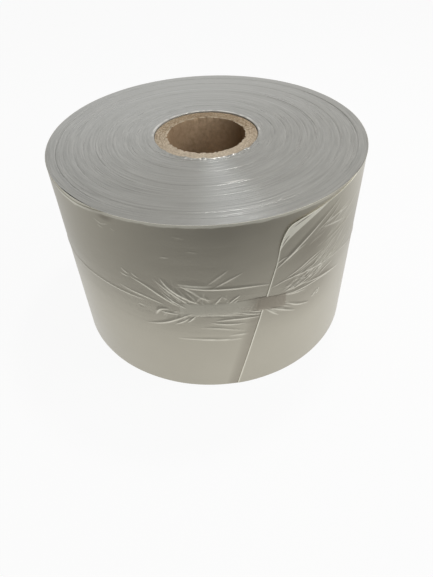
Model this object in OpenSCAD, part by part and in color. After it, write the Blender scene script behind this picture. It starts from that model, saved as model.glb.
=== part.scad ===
// Roll of thin plastic sheeting, wound on a cardboard core and standing on its end.
// The loose tail of the outer turn is held by a strip of clear tape, and the film
// is pulled into folds that fan out from both ends of the strip.
// +Z runs up the core, -Y is the front, and the origin is under the core's axis.

/* [Roll] */
// Outside diameter of the wound film
roll_d = 310; // [250:1:400]
// Width of the film, which is the height of the standing roll
film_w = 203; // [170:1:260]

/* [Core] */
// Bore of the cardboard core
core_bore_d = 76.2; // [50:0.1:90]
// Wall of the core
core_wall = 12; // [6:0.5:16]
// How far the core's upper end lies below the edge of the film
core_recess = 1; // [0.5:0.5:4]
// Chamfer on the end edges of the core
core_chamfer = 0.8; // [0.3:0.1:2]
// Clearance between the core and the innermost turn
core_gap = 0.25; // [0.1:0.05:0.5]

/* [Wound turns] */
// Width of a band of turns whose edges lie level
band_w = 8; // [5:0.5:14]
// Most that a band lies back from the edge of the film
band_set = 0.7; // [0.2:0.1:1.5]
// Width of the slope between two bands
band_slope = 1.4; // [0.6:0.1:3]
// Width of a gap where two turns stand apart
turn_gap_w = 1; // [0.4:0.1:2]
// Depth of a gap where two turns stand apart
turn_gap_depth = 2; // [0.5:0.1:4]

/* [Loose outer turn] */
// Direction of the loosest place, in degrees round from the front
loose_dir = -48; // [-70:1:-40]
// Half of the angle over which the turn stands off
loose_half = 20; // [12:1:30]
// Widest gap behind the loose turn
loose_gap = 2.6; // [1:0.1:5]
// Thickness of the loose turn
loose_wall = 0.8; // [0.4:0.1:2]
// Depth of the gap behind the loose turn
loose_depth = 14; // [8:1:30]
// How far the loose turn's edge sags below the edge of the film
loose_sag = 5; // [1:0.5:7]

/* [Tail of the outer turn] */
// Distance round the roll from the front to the foot of the tail
tail_foot = 21; // [0:1:40]
// Lean of the tail, as distance round the roll for each unit of height
tail_lean = 0.226; // [0:0.002:0.3]
// Height below the film's edge at which the tail's corner folds away
corner_drop = 14.7; // [8:0.1:25]
// Slope of the folded corner, as distance round the roll for each unit of height
corner_slope = 5.6; // [2:0.1:8]
// Softness of the bend at the corner
corner_soft = 4; // [2:0.5:8]
// How far the tail's edge stands off the turn below
tail_lift = 0.9; // [0.6:0.1:2]
// Distance over which the tail settles on the turn below
tail_settle = 64; // [48:1:90]
// Distance over which the settled end of the tail sinks away
tail_sink = 8; // [5:0.5:12]
// How far the tail's upper and lower edges keep from the edges of the film
tail_inset = 0.6; // [0.4:0.1:1]
// Width of the curl along the upper tail
curl_w = 7; // [3:0.5:10]
// Height of the curl along the upper tail
curl_h = 2.6; // [1:0.1:4]

/* [Tape] */
// Length of the strip of tape
tape_len = 98; // [70:1:120]
// Width of the strip of tape
tape_w = 16; // [12:1:25]
// Thickness of the strip of tape
tape_t = 0.3; // [0.2:0.05:0.6]
// Clearance between the tape and the film
tape_gap = 0.25; // [0.1:0.05:0.5]
// Height of the tape's middle line above the foot
tape_h = 111.5; // [90:0.5:125]
// Distance round the roll from the front to the tape's left end
tape_left = -30; // [-45:1:-15]
// Distance over which the tape climbs onto the tail
tape_climb = 7; // [5:0.5:10]

/* [Folds] */
// Reach of the longest fold beyond the end of the tape
fold_reach = 80; // [60:1:95]
// How deep the roots of folds and of the tail go into the wound film
root_depth = 0.6; // [0.4:0.1:1]
// Width of the largest folds
fold_w = 6; // [3:0.5:8]
// Height of the largest folds
fold_h = 2; // [1:0.1:3]
// Width of the crease that runs round the roll
crease_w = 5; // [3:0.5:8]
// Height of the crease that runs round the roll
crease_h = 1; // [0.5:0.1:2]
// Height of the crease above the tape's middle line
crease_up = 11; // [9:0.5:14]

/* [Hidden] */
$fn = 144;
roll_r = roll_d / 2;
bore_r = core_bore_d / 2;
core_r = bore_r + core_wall;
wind_r = core_r + core_gap;
tape_mid = tape_left + tape_len / 2;
tape_right = tape_left + tape_len;
tape_top = tape_h + tape_w / 2;
tape_foot = tape_h - tape_w / 2;
// Ends of the crease round the roll, in degrees round from the front
crease_from = 62;
crease_to = 338;
// Places at which two turns stand apart, as shares of the wound thickness
open_turns = [0.15, 0.26, 0.39, 0.45, 0.55, 0.75, 0.91];

// Angle round the roll of a distance measured along its face
function turn(s) = s / roll_r * 180 / PI;

// Place on the roll's face: s round from the front, z up, and out from the face
function place(s, z, out) =
  [(roll_r + out) * sin(turn(s)), -(roll_r + out) * cos(turn(s)), z];

// Heights are given as levels: -2 at the foot of the film, -1 and 1 at the
// edges of the tape, and 2 at the upper edge of the film.
function height(level) =
  lookup(level, [[-2, 0], [-1, tape_foot], [1, tape_top], [2, film_w]]);

// The tail's edge is a leaning line that bends over softly near the top
function above_corner(z) = z - film_w + corner_drop;
function soft_ramp(x) = (x + sqrt(x * x + corner_soft * corner_soft)) / 2;
function tail_s(z) = tail_foot + tail_lean * z + corner_slope * soft_ramp(above_corner(z));

// How far the tail stands off the turn below, at a distance d from its edge
function tail_out(d) =
  d < tail_settle
    ? tail_lift * (1 - 0.5 * max(0, d) / tail_settle)
    : tail_lift / 2 * max(0, 1 - (d - tail_settle) / tail_sink);
function layer_out(p, on_tail) = on_tail ? tail_out(p[0] - tail_s(p[1])) : 0;

// Bands of turns, each a little further back from the film's edge or level with it
band_n = max(3, floor((roll_r - wind_r) / band_w));
band_run = (roll_r - wind_r) / band_n;
function band_back(k) = k == 0 || k == band_n - 1 ? 0 : band_set * (0.5 + 0.5 * sin(k * 137));
band_edge = [
  for (k = [0:band_n - 1], side = [0, 1])
    let (inner = wind_r + k * band_run, ease = band_slope / 2)
    side == 0
      ? [k == 0 ? inner : inner + ease, band_back(k)]
      : [k == band_n - 1 ? inner + band_run : inner + band_run - ease, band_back(k)]
];

// Half section of the wound film: the foot's bands outwards, then the top's inwards
module wound_body() {
  foot = [for (p = band_edge) [p[0], p[1]]];
  top = [for (i = [len(band_edge) - 1:-1:0]) [band_edge[i][0], film_w - band_edge[i][1]]];
  rotate_extrude() polygon(concat(foot, top));
}

// A gap where two turns stand apart, a narrow V in both ends of the roll
module turn_gaps() {
  side = turn_gap_w / 2;
  deep = turn_gap_depth + band_set;
  v_cut = [[-side, -deep], [side, -deep], [side, 0], [0, deep], [-side, 0]];
  for (share = open_turns, end = [0, 1])
    translate([0, 0, end * film_w]) mirror([0, 0, end])
      rotate_extrude() translate([wind_r + share * (roll_r - wind_r), 0]) polygon(v_cut);
}

// The crescent gap behind the loose turn, open at the top, and the turn's sagging edge
module loose_turn_cut() {
  inner = roll_r - loose_wall;
  shift = loose_gap / (1 - cos(loose_half));
  back = inner + shift * cos(loose_half);
  half_chord = roll_r * sin(loose_half);
  dip_r = (half_chord * half_chord + loose_sag * loose_sag) / (2 * loose_sag);
  rotate([0, 0, loose_dir - 90]) {
    translate([0, 0, film_w - loose_depth]) difference() {
      cylinder(r = inner, h = loose_depth + 1);
      translate([-shift, 0, -1]) cylinder(r = back, h = loose_depth + 3);
    }
    difference() {
      translate([roll_r / 2, 0, film_w - loose_sag + dip_r]) rotate([0, 90, 0])
        cylinder(r = dip_r, h = roll_r);
      translate([-shift, 0, film_w - 2 * loose_sag]) cylinder(r = back, h = 2 * dip_r);
    }
  }
}

// A closed skin through rings of points, each ring the same number of points
module skin(rings) {
  n = len(rings);
  m = len(rings[0]);
  walls = [
    for (i = [0:n - 2], j = [0:m - 1])
      let (a = i * m + j, b = i * m + (j + 1) % m, c = b + m, d = a + m)
      each [[a, b, c], [a, c, d]]
  ];
  first = [for (j = [m - 1:-1:0]) j];
  last = [for (j = [0:m - 1]) (n - 1) * m + j];
  polyhedron(points = [for (r = rings) each r], faces = concat(walls, [first, last]), convexity = 4);
}

// A swelling of the film along a path on the face. The section is a list of
// shares: across the path, and out from the face. It tapers to nothing at its ends,
// and it lies either on the tail or on the turn below it.
module swelling(path, width, out, section, on_tail) {
  n = len(path) - 1;
  rings = [
    for (i = [0:n])
      let (
        along = path[min(i + 1, n)] - path[max(i - 1, 0)],
        side = [-along[1], along[0]] / norm(along),
        full = sin(180 * i / n),
        w = width * (0.35 + 0.65 * full)
      )
      [for (q = section)
        let (p = path[i] + side * w * q[0])
        place(p[0], p[1],
          q[1] == 0 ? -root_depth : layer_out(p, on_tail) + out * full * q[1] - root_depth / 4)]
  ];
  skin(rings);
}

// A fold from one place on the face to another, with its middle bowed to the side.
// It belongs to the layer of film in which it starts.
module fold(from, to, bow, size) {
  crest = [[-0.5, 0], [-0.2, 0.5], [0, 1], [0.2, 0.5], [0.5, 0]];
  run = to - from;
  side = [-run[1], run[0]] / norm(run);
  n = max(4, ceil(10 * norm(run) / fold_reach));
  path = [for (i = [0:n]) let (t = i / n) from + run * t + side * norm(run) * bow * t * (1 - t)];
  swelling(path, fold_w * sqrt(size), fold_h * size, crest, from[0] > tail_s(from[1]));
}

// Folds given as a share of the reach and a level at each end, bow, and size. The
// bow is a share of the fold's length, and the reach is measured from s = start.
module folds(start, list) {
  for (f = list)
    fold(
      [start + f[0] * fold_reach, height(f[1])],
      [start + f[2] * fold_reach, height(f[3])], f[4], f[5]
    );
}

// Folds that fan out from the tape's left end
module left_fan() {
  folds(tape_left, [
    [-0.05, 0.44, -0.62, 1.245, -0.4, 1], [-0.1, 1.04, -0.47, 1.33, 0, 0.6],
    [0, 1.02, -0.31, 1.29, 0, 0.8], [0.09, 1.02, -0.22, 1.305, 0, 0.8],
    [0.21, 1.02, -0.07, 1.28, 0.1, 0.6], [0.26, 1.04, 0.12, 1.17, 0, 0.5],
    [0.35, 1.04, 0.27, 1.14, 0, 0.4], [-0.2, 0.69, -0.69, 1.08, -0.1, 0.5],
    [-0.03, 0.31, -0.42, 1.035, -0.25, 0.8], [-0.03, -0.81, -0.22, -0.69, 0, 0.5],
    [-0.05, -1.02, -0.2, -1, 0, 0.4], [0.04, -1.02, -0.47, -1.18, 0.2, 0.7],
    [0.16, -1.02, 0.03, -1.11, 0, 0.5], [-0.16, -0.3, -0.27, -1.01, -0.4, 0.9]
  ]);
}

// Folds that fan out from the tape's right end, over the tail
module right_fan() {
  folds(tape_right, [
    [-0.25, -1.02, -0.16, -1.1, 0, 0.5], [-0.2, -1.02, 0.15, -1.19, -0.1, 0.9],
    [-0.1, -1.02, 0.09, -1.09, 0, 0.6], [0.03, -1.02, 0.34, -1.17, 0, 0.9],
    [0.03, -0.25, 0.3, -0.25, 0, 0.5], [0.03, 0.25, 1, -0.19, -0.05, 0.9],
    [-0.2, 1.05, 0.34, 1.29, 0, 0.8], [-0.2, 1.16, 0.71, 1.09, 0.05, 0.6],
    [-0.02, 1.03, 0.55, 1.21, 0.1, 0.7], [0.03, 0.94, 0.77, 1.15, 0.05, 0.6],
    [0.36, 1.305, 0.77, 1.33, 0, 0.5], [0.03, 0.6, 0.87, 1.03, 0.05, 0.6]
  ]);
}

// Folds that pull up towards the tail's folded corner
module corner_folds() {
  folds(tape_right, [
    [-0.14, 1.385, 0.81, 1.96, 0.04, 1], [-0.11, 1.39, 0.34, 1.58, 0, 0.5],
    [0.4, 1.63, 0.59, 1.665, 0, 0.5], [0.52, 1.68, 0.71, 1.76, 0, 0.6],
    [0.59, 1.64, 1, 1.65, -0.1, 0.6], [0.71, 1.545, 0.86, 1.53, 0, 0.4]
  ]);
}

// Long shallow folds and small puckers above and below the tape's middle
module middle_folds() {
  folds(tape_mid, [
    [-0.59, 1.22, 0.35, 1.155, -0.05, 0.8], [-0.24, 1.24, 0.09, 1.39, 0, 0.5],
    [-0.31, 1.305, 0.01, 1.485, 0, 0.4], [-0.16, -1.04, 0.26, -1.08, 0, 0.6],
    [-0.26, -1.09, 0.14, -1.15, 0, 0.6], [-0.67, -1.3, 0.11, -1.32, 0, 0.7],
    [-0.05, -1.255, 0.15, -1.285, 0, 0.4], [0.01, -1.02, 0.27, -1.05, 0, 0.5],
    [-0.2, 1.02, -0.16, 1.1, 0, 0.4], [-0.07, 1.02, 0.01, 1.065, 0, 0.4]
  ]);
}

// The crease round the back, left by the fold that the film had before winding
module crease() {
  rotate([0, 0, crease_from - 90]) rotate_extrude(angle = crease_to - crease_from)
    translate([roll_r, tape_h + crease_up])
      polygon([[-root_depth, -crease_w / 2], [crease_h, 0], [-root_depth, crease_w / 2]]);
}

// The tail: a sheet from its edge to where it lies down on the turn below. Its upper
// and lower edges slope down into the film, over the height of one inset.
module tail_sheet() {
  bend = film_w - 2 * corner_drop;
  low = 2 * tail_inset;
  high = film_w - 2 * tail_inset;
  rows = concat(
    [tail_inset],
    [for (i = [0:15]) low + (bend - low) * i / 16],
    [for (i = [0:12]) bend + (high - bend) * i / 12],
    [film_w - tail_inset]
  );
  steps = concat([0, 0.02, 0.06, 0.15], [for (i = [1:5]) 0.15 + 0.17 * i]);
  last = len(steps) - 1;
  rings = [
    for (z = rows)
      let (s = tail_s(z), end = s + tail_settle + tail_sink, laid = z < low || z > high)
      concat(
        [for (q = steps)
          place(s + q * tail_settle, z, laid ? -root_depth / 2 : tail_out(q * tail_settle))],
        [for (q = [last:-1:0])
          place(q == last ? end : s + steps[q] * tail_settle, z,
            q == 0 ? -root_depth : -2 * root_depth)]
      )
  ];
  skin(rings);
}

// The film's edge rolled outwards along the upper tail
module tail_curl() {
  hook = [[0, 0], [0, 0.85], [-0.35, 1], [-0.7, 0.5], [-1, 0]];
  low = film_w - 3.2 * corner_drop;
  high = film_w - 0.6 * corner_drop;
  n = 12;
  path = [for (i = [0:n]) let (z = low + (high - low) * i / n) [tail_s(z), z]];
  swelling(path, curl_w, curl_h, hook, true);
}

// All the wound turns, which are one length of film
module film_roll() {
  color([0.66, 0.66, 0.62]) union() {
    difference() {
      wound_body();
      turn_gaps();
      loose_turn_cut();
    }
    tail_sheet();
    tail_curl();
    crease();
    left_fan();
    right_fan();
    corner_folds();
    middle_folds();
  }
}

// The cardboard tube in the middle, with its ends chamfered inside and out
module core_tube() {
  top = film_w - core_recess;
  c = core_chamfer;
  color([0.68, 0.58, 0.46]) rotate_extrude() polygon([
    [bore_r + c, 0], [core_r - c, 0], [core_r, c], [core_r, top - c],
    [core_r - c, top], [bore_r + c, top], [bore_r, top - c], [bore_r, c]
  ]);
}

// The strip of clear tape, which steps up over the tail's edge
module tail_tape() {
  n = 28;
  ahead = tape_climb / 4;
  function seat(s, z) =
    let (d = s - tail_s(z))
    d > -ahead ? tail_out(d) : tail_lift * max(0, 1 + (d + ahead) / tape_climb);
  rings = [
    for (i = [0:n])
      let (s = tape_left + tape_len * i / n)
      [for (q = [[0, 0], [1, 0], [1, 1], [0, 1]])
        let (z = tape_foot + tape_w * q[0])
        place(s, z, seat(s, z) + tape_gap + tape_t * q[1])]
  ];
  color([0.78, 0.77, 0.72, 0.7]) skin(rings);
}

film_roll();
core_tube();
tail_tape();
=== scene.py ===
import math

import bpy
import numpy as np
from mathutils import Matrix, Vector


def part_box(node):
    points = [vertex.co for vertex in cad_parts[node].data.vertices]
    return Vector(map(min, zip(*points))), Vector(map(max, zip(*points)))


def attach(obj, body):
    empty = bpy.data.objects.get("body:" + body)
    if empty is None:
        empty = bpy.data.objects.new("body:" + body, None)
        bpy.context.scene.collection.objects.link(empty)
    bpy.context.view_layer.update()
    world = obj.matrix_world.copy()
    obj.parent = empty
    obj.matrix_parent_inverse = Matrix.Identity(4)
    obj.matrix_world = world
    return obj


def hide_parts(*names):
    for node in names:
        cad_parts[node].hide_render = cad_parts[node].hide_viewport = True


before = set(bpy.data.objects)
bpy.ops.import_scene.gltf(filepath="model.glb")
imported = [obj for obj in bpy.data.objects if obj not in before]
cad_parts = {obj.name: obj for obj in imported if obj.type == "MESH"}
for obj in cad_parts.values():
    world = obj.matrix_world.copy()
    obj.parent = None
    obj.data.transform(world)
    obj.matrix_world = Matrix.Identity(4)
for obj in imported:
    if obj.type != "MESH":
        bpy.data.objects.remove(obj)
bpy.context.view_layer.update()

# A roll of thin plastic sheeting wound on a cardboard core, standing on its end.
# Lengths are in millimetres until a mesh is made. A place on the roll's face is
# s, the distance round the roll from the front towards +X, and z, the height.
MM = 0.001

# The roll
ROLL_R = 155.0
FILM_W = round(float(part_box("film_roll")[1][2]) / MM, 1)
CORE_R = round(float(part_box("core_tube")[1][0]) / MM, 2) + 1.0
CORE_TOP = round(float(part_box("core_tube")[1][2]) / MM, 1)
BORE_R = 38.1
WIND_R = CORE_R + 0.25
TURN_LENGTH = 2 * math.pi * ROLL_R

# The tail of the outer turn
TAIL_FOOT = 21.0
TAIL_LEAN = 0.226
CORNER_DROP = 10.7
CORNER_SLOPE = 7.6
CORNER_SOFT = 2.0
BULGE_DEPTH = 2.5
BULGE_H = 176.0
BULGE_HALF = 24.0
TAIL_LIFT = 0.25
LIFT_RUN = 90.0
EDGE_LIP = 0.3
CURL_TILT = 0.1
CURL_FOOT = (58.0, 164.5)
CURL_RUN = (0.26, 0.042)
CURL_END = 106.0

# The tape
TAPE_LEFT = -30.0
TAPE_LENGTH = 98.0
TAPE_WIDTH = 16.0
TAPE_H = 111.5
TAPE_BEND = 4.5
BEND_FROM = 36.0
BEND_RUN = 34.0
TAPE_STANDS = 0.22
TAPE_THIN = 0.12
TAPE_THICK = 0.1
TAPE_RIGHT = TAPE_LEFT + TAPE_LENGTH
TAPE_MID = TAPE_LEFT + TAPE_LENGTH / 2
TAPE_TOP = TAPE_H + TAPE_WIDTH / 2
TAPE_FOOT = TAPE_H - TAPE_WIDTH / 2

# The loose outer turn at the left
LOOSE_S = -128.0
LOOSE_HALF = 46.0
LOOSE_GAP = 0.9
LOOSE_SAG = 3.6
LOOSE_DEPTH = 14.0
RIM_FLARE = 0.3
RIM_BAND = 4.0

# The outer turn's grid follows the slant of the tail's edge this far to the right of
# it, and to its left on the turn's end, which runs a little way under the tail. At
# the back the tail's half tucks under the other one.
SLANT_RIGHT = 160.0
SLANT_LEFT = 150.0
TURN_OVERLAP = 1.2
OVERLAP_RUN = 22.0
TAIL_TUCK = 0.06

# How far inside the roll's face the outer turn's back lies, and how thick the film is
# drawn at its free edges
TURN_BACK = 0.7
SKIN = 0.25

# The wound turns: rows on each end, columns round the axis, level bands, and narrow
# gaps as shares of the way from the core to the outside
FOOT_ROWS = 70
TOP_ROWS = 184
WOUND_COLUMNS = 288
BAND_COUNT = 13
BAND_DEPTH = 0.3
GAP_SHARES = (0.15, 0.26, 0.39, 0.45, 0.55, 0.75, 0.91)

# The core: rows on its ends and in its bore, columns, and the pitch of its seam
CORE_END_ROWS = 22
BORE_ROWS = 44
CORE_COLUMNS = 180
CORE_EDGE = 0.7
SEAM_PITCH = 92.0

# The photograph's camera in metres and degrees, with its focal length as a share of
# the picture's longer side
CAMERA_AT = (0.0034, -0.4486, 0.4145)
CAMERA_PITCH = 43.33
CAMERA_ROLL = -2.58
CAMERA_FOCAL = 478.14 / 577

# The studio card that the film's gloss mirrors, in metres, with its lighter patches
# as turns in degrees to the right of the front and how much they add
CARD_R = 0.25
CARD_TOP = 0.7
CARD_FADE = (0.05, 0.135)
CARD_TURN = 125
CARD_COLUMNS = 101
CARD_PATCHES = ((-50, 0.22), (104, 0.26))

# The screen colour of the painted highlight lines (glint) on the film's side and on the tape
PAINTED_HIGHLIGHT_WHITE = (246, 243, 228)


def bell(x):
    """(1 + cos(pi x)) / 2 for x between -1 and 1, and 0 outside."""
    return np.where(np.abs(x) < 1, (1 + np.cos(np.pi * np.clip(x, -1, 1))) / 2, 0)


def step(x):
    """3 x^2 - 2 x^3, with x kept between 0 and 1."""
    x = np.clip(x, 0, 1)
    return x * x * (3 - 2 * x)


def patch(s, z, middle, half, slope=0.0):
    """A soft oval: the bell of the distance from its middle in half sizes. Its middle
    line rises by slope times the distance to the right."""
    ds = s - middle[0]
    return bell(np.hypot(ds / half[0], (z - middle[1] - slope * ds) / half[1]))


def tail_s(z):
    """The tail's edge: foot + lean z + slope (x + sqrt(x^2 + soft^2)) / 2, where x is
    the height above the corner, less a slight bulge below the corner."""
    x = z - (FILM_W - CORNER_DROP)
    corner = CORNER_SLOPE * (x + np.sqrt(x * x + CORNER_SOFT**2)) / 2
    return TAIL_FOOT + TAIL_LEAN * z + corner - BULGE_DEPTH * bell((z - BULGE_H) / BULGE_HALF)


def wave(s, z, seed, length, count=7):
    """Seeded sines of s and z with wavelengths near length, about -1 to 1: their sum
    divided by the square root of their count."""
    draw = np.random.default_rng(seed)
    total = np.zeros(np.broadcast(s, z).shape)
    for _ in range(count):
        angle = draw.uniform(0, math.pi)
        k = 2 * math.pi / (length * draw.uniform(0.6, 1.7))
        total += np.sin(k * (s * math.cos(angle) + z * math.sin(angle)) + draw.uniform(0, 7))
    return total / math.sqrt(count)


def smooth_line(points):
    """The points with each corner cut to its quarter points three times over."""
    line = np.array(points, float)
    for _ in range(3):
        ahead, behind = 0.75 * line[:-1] + 0.25 * line[1:], 0.25 * line[:-1] + 0.75 * line[1:]
        line = np.concatenate([line[:1], np.stack([ahead, behind], 1).reshape(-1, 2), line[-1:]])
    return line


def along_line(s, z, points, reach):
    """Where the grid lies near a smooth line: a mask, the share of the way along the
    line from 0 to 1, the distance off it, and whether the place lies above it."""
    line = smooth_line(points)
    low, high = line.min(0) - reach, line.max(0) + reach
    near = (s > low[0]) & (s < high[0]) & (z > low[1]) & (z < high[1])
    start, run = line[:-1], np.diff(line, axis=0)
    length = np.hypot(*run.T)
    ds, dz = s[near][:, None] - start[:, 0], z[near][:, None] - start[:, 1]
    share = np.clip((ds * run[:, 0] + dz * run[:, 1]) / length**2, 0, 1)
    gap = np.hypot(ds - share * run[:, 0], dz - share * run[:, 1])
    nearest = gap.argmin(1)
    rows = np.arange(len(nearest))
    so_far = np.concatenate([[0], np.cumsum(length)])
    t = (so_far[nearest] + share[rows, nearest] * length[nearest]) / so_far[-1]
    side = (dz * run[:, 0] - ds * run[:, 1])[rows, nearest]
    if line[-1, 0] <= line[0, 0]:
        side = -side
    return near, t, gap[rows, nearest], side > 0


def add_fold(skin, s, z, points, width, rise):
    """Adds a pinched fold along a smooth line: 0.9 rise sin(pi t)^0.6 (1 - x)^1.6, where t
    is the share of the way along it and x the distance off it in widths. The width
    narrows to about a third at both ends. The flank that faces up is 1.4 times as wide.
    The one that faces down is 0.9 times as wide and gets a painted highlight, the glint,
    which fades down the flank and is 1.8 times the rise strong, but 0.85 at most; the other
    flank gets it only within 0.35 of the crest."""
    near, t, gap, above = along_line(s, z, points, 2 * width)
    if not near.any():
        return
    faces_up = above == (rise > 0)
    along = np.sin(np.pi * t)
    wide = width * (0.35 + 0.65 * along) * np.where(faces_up, 1.4, 0.9)
    fall = np.clip(1 - gap / wide, 0, 1)
    skin.out[near] += 0.9 * rise * along**0.6 * fall**1.6
    crest = np.clip(1 - gap / 0.35, 0, 1)
    # painted highlight on the flank that faces down, and near the crest of the other
    glint = np.where(faces_up, crest, fall**0.6) * along**0.5 * min(0.85, 1.8 * abs(rise))
    skin.glint[near] = np.maximum(skin.glint[near], glint)


def add_shade_line(skin, s, z, points, width):
    """Adds a thin line of painted shade, without a glint, whose ends fade."""
    near, t, gap = along_line(s, z, points, 2 * width)[:3]
    dark = np.clip(1.3 * (1 - gap / width), 0, 1) * np.sin(np.pi * t) ** 0.5
    skin.glint[near] *= 1 - dark
    skin.shade[near] = np.maximum(skin.shade[near], 1.6 * dark)


# The main folds, as points (s, z) on their lines, half width and rise. A rise below
# nothing is a furrow. TURN_ is on the turn below the tail, and TAIL_ on the tail.
LEFT_FAN = [
    ([(-88, 127), (-76, 124), (-60, 121), (-44, 115)], 1.8, 0.45),
    ([(-74, 141), (-60, 136), (-45, 125), (-29, 114)], 2.4, 0.78),
    ([(-72, 146), (-65, 141)], 1.6, 0.39),
    ([(-82, 148), (-74, 143)], 1.6, 0.45),
    ([(-84, 142), (-75, 140)], 1.5, 0.39),
    ([(-45, 130), (-35, 121), (-24, 113)], 1.8, 0.65),
    ([(-52, 145), (-40, 134), (-19, 116)], 2.0, 0.45),
    ([(-45, 147), (-38, 136), (-24, 126), (-12, 119)], 3.6, 0.98),
    ([(-30, 141), (-20, 133), (-10, 127)], 2.4, -0.39),
    ([(-18, 132), (-8, 126), (-1, 123)], 2.2, 0.33),
    ([(-53, 101), (-51, 107), (-47, 110), (-41, 110)], 2.4, 1.04),
    ([(-48, 106), (-40, 105), (-31, 105)], 1.6, 0.52),
    ([(-64, 86), (-47, 91), (-36, 97), (-19, 107)], 2.4, 0.65),
    ([(-36, 91), (-28, 96), (-22, 101)], 1.8, 0.39),
    ([(-24, 95), (-16, 104)], 1.7, 0.59),
    ([(-71, 108), (-64, 107)], 1.6, -0.33),
    ([(-42, 170), (-34, 170)], 1.2, 0.33),
    ([(-101, 193), (-94, 190), (-86, 192)], 1.3, 0.39),
    ([(-98, 188), (-92, 186)], 1.1, 0.33),
    ([(-84, 189), (-80, 187)], 1.0, 0.26),
    ([(-30, 192), (-20, 190)], 1.2, 0.2),
    ([(-20, 178), (-10, 176)], 1.2, 0.2),
]
MIDDLE_FOLDS = [
    ([(-32, 139), (-10, 137), (15, 136), (36, 135), (52, 132)], 2.2, 0.72),
    ([(-30, 142), (-16, 141), (0, 140)], 5.0, 0.39),
    ([(-5, 141), (5, 150), (14, 157)], 2.2, 0.26),
    ([(0, 137), (12, 145), (26, 152)], 2.0, 0.33),
    ([(-8, 117), (-10, 123)], 1.2, 0.33),
    ([(0, 116), (3, 121), (8, 128)], 1.4, 0.45),
    ([(13, 117), (17, 122), (24, 127)], 1.6, 0.59),
    ([(17, 118), (22, 122)], 1.2, 0.39),
    ([(-12, 104), (5, 103), (24, 101)], 1.6, -0.33),
    ([(19, 107), (30, 102), (44, 98)], 1.6, 0.52),
    ([(29, 108), (38, 103), (46, 101)], 1.5, 0.52),
    ([(2, 97), (15, 98), (30, 97), (43, 95)], 2.3, 0.72),
    ([(-3, 95), (10, 92), (29, 90)], 2.0, 0.45),
    ([(-13, 88), (0, 88), (14, 85), (29, 80)], 2.0, 0.26),
    ([(13, 76), (22, 76), (33, 75)], 1.8, 0.39),
    ([(-35, 72), (-15, 73), (10, 71), (29, 69)], 2.2, 0.52),
]
RIGHT_FAN = [
    ([(63, 132), (80, 138), (94, 145), (109, 147)], 1.6, 0.45),
    ([(51, 127), (66, 132), (90, 132), (112, 130), (138, 127)], 1.9, 0.72),
    ([(94, 128), (105, 132), (116, 135)], 1.4, 0.39),
    ([(103, 131), (120, 133), (132, 136)], 1.4, 0.39),
    ([(104, 116), (114, 121), (128, 122)], 1.6, 0.39),
    ([(86, 117), (105, 114), (124, 111), (146, 105)], 2.3, 0.59),
    ([(59, 116), (74, 112), (92, 112), (108, 112), (131, 108)], 1.8, 0.59),
    ([(68, 112), (80, 110), (91, 108)], 1.5, 0.39),
    ([(67, 117), (78, 116), (94, 117)], 2.2, -0.52),
    ([(69, 102), (82, 93), (98, 87)], 2.1, 0.72),
    ([(49, 105), (62, 97), (81, 86)], 2.1, 0.78),
    ([(47, 104), (54, 97), (62, 89)], 1.7, 0.45),
]
CORNER_FOLDS = [
    ([(55, 147), (70, 160), (90, 175), (105, 184), (123, 193)], 3.0, 1.1),
    ([(55, 153), (61, 157), (67, 158)], 1.4, 0.39),
    ([(63, 152), (74, 161), (84, 164)], 1.7, 0.39),
    ([(96, 172), (109, 177), (125, 188)], 1.7, 0.65),
    ([(103, 175), (122, 178), (142, 175)], 2.2, 0.59),
    ([(101, 173), (118, 170), (139, 164)], 2.1, 0.45),
]
TURN_FOLDS = LEFT_FAN + MIDDLE_FOLDS
TAIL_FOLDS = RIGHT_FAN + CORNER_FOLDS

# The fans of small seeded folds: root (s, z), spread, turns in degrees up from +s,
# longest reach, count, rise and seed, then the most that they bend in radians and the
# range of their half widths
TURN_FANS = [
    ((TAPE_LEFT + 6, TAPE_TOP + 1), (14, 2), (110, 160), 30, 22, 0.3, 11, 0.35, (1.0, 2.0)),
    ((TAPE_LEFT - 2, TAPE_FOOT + 3), (10, 3), (180, 250), 16, 14, 0.22, 12, 0.35, (1.0, 2.0)),
    ((TAPE_MID, TAPE_FOOT), (34, 1), (-25, -5), 18, 12, 0.2, 13, 0.35, (1.0, 2.0)),
    ((TAPE_MID - 16, TAPE_TOP), (22, 1), (40, 130), 14, 8, 0.25, 14, 0.35, (1.0, 2.0)),
]
TAIL_FANS = [
    ((TAPE_RIGHT + 12, TAPE_TOP + 5), (17, 9), (14, 34), 70, 36, 0.38, 21, 0.2, (0.9, 1.7)),
    ((TAPE_RIGHT + 4, TAPE_TOP), (7, 5), (6, 40), 28, 20, 0.5, 24, 0.2, (0.9, 1.7)),
    ((TAPE_RIGHT - 10, TAPE_FOOT), (12, 1), (-60, -15), 20, 12, 0.22, 22, 0.35, (1.0, 2.0)),
    ((TAPE_RIGHT + 44, TAPE_TOP + 30), (26, 24), (10, 32), 54, 36, 0.27, 23, 0.24, (0.9, 1.9)),
]

# Painted shade patches: middle (s, z), half sizes, slope and strength
TURN_SHADES = [((-88, 198), (12, 5), 0.0, 1.4)]
TAIL_SHADES = [
    ((96, 160), (40, 26), 0.4, 1.0),
    ((95, 98), (60, 36), 0.0, 0.6),
    ((112, 114), (26, 13), 0.0, 0.8),
    ((84, 126), (30, 13), 0.0, 0.9),
]

# Lines of painted shade in the curl, specks below the tape's right end, each a small
# bump with a painted highlight, and the crease round the back, as distances from the
# front and heights
CURL_SHADE_LINES = [[(69, 187), (75, 190), (86, 193)], [(60, 171), (62, 176), (66, 180)]]
SPECKS = [(102, 93), (104, 95), (106.5, 96.5), (109, 97), (108, 93.5)]
SPECK_HALF = (2.0, 1.7)
SPECK_RISE = 0.65
CREASE_S = [128, 146, 166, 192, 230, 300, 500, 804, 860, 888, 918]
CREASE_Z = [128, 125.5, 121, 117, 114.5, 114, 118, 122, 121, 119, 116]


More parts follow.
